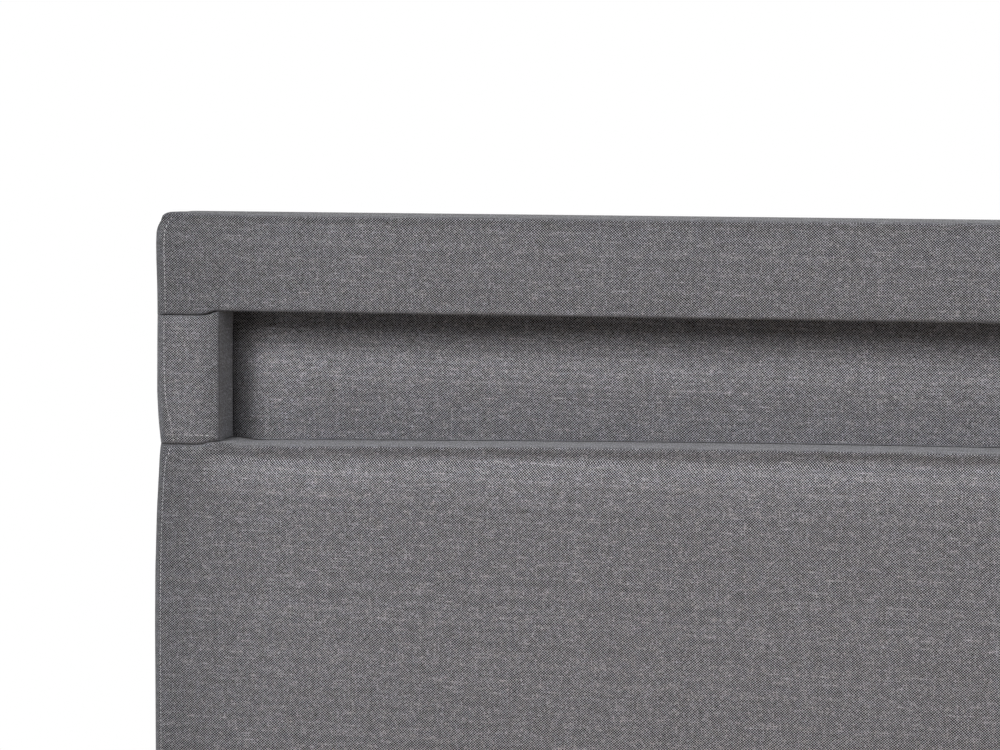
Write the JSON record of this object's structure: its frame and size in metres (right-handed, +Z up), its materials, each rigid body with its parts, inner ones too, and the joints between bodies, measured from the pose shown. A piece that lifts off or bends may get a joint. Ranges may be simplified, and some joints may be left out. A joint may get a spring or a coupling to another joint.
{
  "type": "upholstered storage bed",
  "caption": "Upholstered double storage bed: padded headboard with an open recessed niche, padded rails, and a slatted frame that lifts on gas struts over a storage floor.",
  "frame": {"origin": "on the floor, at the centre of the bed's outer box", "axes": "+X to the right side rail, +Y from the foot rail to the headboard, +Z up; the niche faces -Y"},
  "size_m": [1.72, 2.1794, 1.06],
  "materials": {
    "grey_weave": "grey melange plain weave over foam, dry and matt, with a little sheen at a low angle",
    "black_lining": "black non-woven dust cloth on the back of the headboard",
    "board": "raw particle board and plywood, hidden under the covers",
    "floor_board": "thin dark grey faced hardboard",
    "beech": "pale laminated beech, satin",
    "dark_steel": "black powder coat, fine texture",
    "zinc": "zinc plated steel sheet",
    "chrome": "polished chromed rod",
    "black_plastic": "black moulded plastic, fine grain",
    "webbing": "black woven webbing"
  },
  "bodies": {
    "bed_base": {"beam_foot_foot": "black_plastic", "beam_foot_head": "black_plastic", "corner_bracket_foot_left": "zinc", "corner_bracket_foot_right": "zinc", "corner_bracket_head_left": "zinc", "corner_bracket_head_right": "zinc", "corner_leg_left": "black_plastic", "corner_leg_right": "black_plastic", "floor_beam": "beech", "foot_rail_board": "board", "foot_rail_cover": "grey_weave", "headboard_back_lining": "black_lining", "headboard_core": "board", "headboard_glide_left": "black_plastic", "headboard_glide_right": "black_plastic", "headboard_lower_pad": "grey_weave", "headboard_niche_panel": "grey_weave", "headboard_post_pad_left": "grey_weave", "headboard_post_pad_right": "grey_weave", "headboard_top_bolster": "grey_weave", "lift_plate_left": "zinc", "lift_plate_right": "zinc", "pivot_bolt_left": "zinc", "pivot_bolt_right": "zinc", "side_cleat_left": "beech", "side_cleat_right": "beech", "side_rail_board_left": "board", "side_rail_board_right": "board", "side_rail_cover_left": "grey_weave", "side_rail_cover_right": "grey_weave", "storage_floor_foot": "floor_board", "storage_floor_head": "floor_board"},
    "lift_frame": {"frame_tube_centre": "dark_steel", "frame_tube_foot": "dark_steel", "frame_tube_head": "dark_steel", "frame_tube_left": "dark_steel", "frame_tube_right": "dark_steel", "lift_arm_left": "dark_steel", "lift_arm_right": "dark_steel", "mattress_stop": "dark_steel", "pull_strap": "webbing", "slat_01": "beech", "slat_02": "beech", "slat_03": "beech", "slat_04": "beech", "slat_05": "beech", "slat_06": "beech", "slat_07": "beech", "slat_08": "beech", "slat_09": "beech", "slat_10": "beech", "slat_11": "beech", "slat_12": "beech", "slat_13": "beech", "slat_14": "beech"},
    "gas_cylinder_left": {"gas_cylinder_left": "dark_steel"},
    "gas_rod_left": {"gas_rod_left": "chrome"},
    "gas_cylinder_right": {"gas_cylinder_right": "dark_steel"},
    "gas_rod_right": {"gas_rod_right": "chrome"}
  },
  "joints": [
    {"name": "frame_lift", "type": "hinge", "parent": "bed_base", "child": "lift_frame", "pos_m": [0, 0.88235, 0.2762], "axis": [-1, 0, 0], "range_deg": [0, 38]},
    {"name": "cylinder_swing_left", "type": "hinge", "parent": "bed_base", "child": "gas_cylinder_left", "pos_m": [-0.8, 0.72165, 0.0847], "axis": [-1, 0, 0], "range_deg": [0, 19]},
    {"name": "rod_swing_left", "type": "hinge", "parent": "lift_frame", "child": "gas_rod_left", "pos_m": [-0.8, 0.63236, 0.2762], "axis": [-1, 0, 0], "range_deg": [-19, 0]},
    {"name": "cylinder_swing_right", "type": "hinge", "parent": "bed_base", "child": "gas_cylinder_right", "pos_m": [0.8, 0.72165, 0.0847], "axis": [-1, 0, 0], "range_deg": [0, 19]},
    {"name": "rod_swing_right", "type": "hinge", "parent": "lift_frame", "child": "gas_rod_right", "pos_m": [0.8, 0.63236, 0.2762], "axis": [-1, 0, 0], "range_deg": [-19, 0]}
  ],
  "couplings": [
    {"joint": "cylinder_swing_left", "follows": "frame_lift", "ratio": 0.5},
    {"joint": "rod_swing_left", "follows": "frame_lift", "ratio": -0.5},
    {"joint": "cylinder_swing_right", "follows": "frame_lift", "ratio": 0.5},
    {"joint": "rod_swing_right", "follows": "frame_lift", "ratio": -0.5}
  ]
}
